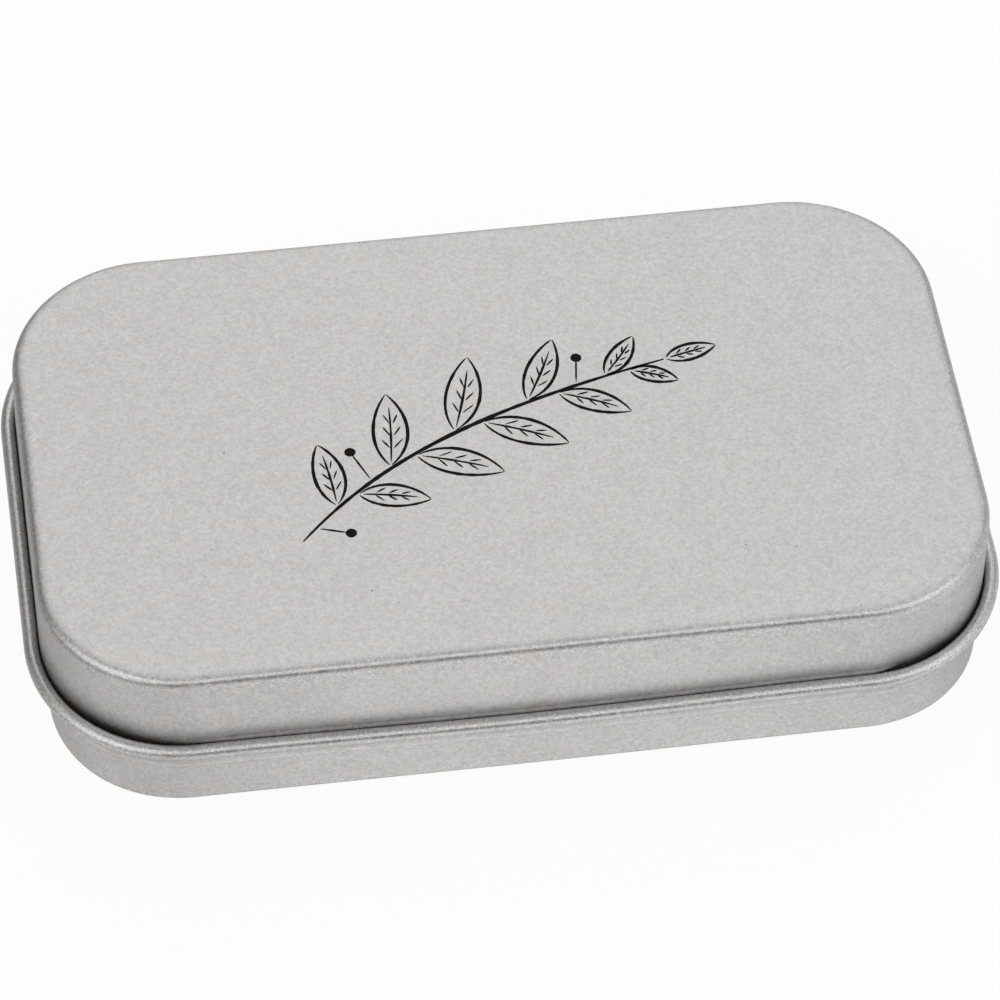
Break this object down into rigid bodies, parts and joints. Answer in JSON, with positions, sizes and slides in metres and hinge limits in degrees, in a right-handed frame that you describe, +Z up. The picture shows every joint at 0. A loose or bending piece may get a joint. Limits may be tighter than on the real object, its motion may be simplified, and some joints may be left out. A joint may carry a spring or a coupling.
{
  "type": "hinged metal tin",
  "caption": "Flat rectangular tinplate tin with rounded corners, a rolled rim round the base, and a lid that drops inside the rim and turns on tongues curled round it.",
  "frame": {"origin": "centre of the rolled rim's outline, on the flat underside that the tin stands on", "axes": "+Z up, +X along the tin's length, +Y towards the hinge at the back"},
  "size_m": [0.113, 0.0694, 0.0217],
  "materials": {
    "base_tinplate": "matte tinplate, fine stone grain",
    "lid_tinplate": "matte tinplate, fine stone grain, plain black line print on the panel"
  },
  "bodies": {
    "base": {"base_pan": "base_tinplate"},
    "lid": {"lid_pan": "lid_tinplate"}
  },
  "joints": [
    {"name": "lid_hinge", "type": "hinge", "parent": "base", "child": "lid", "pos_m": [0, 0.03333, 0.01068], "axis": [-1, 0, 0], "range_deg": [0, 110]}
  ]
}
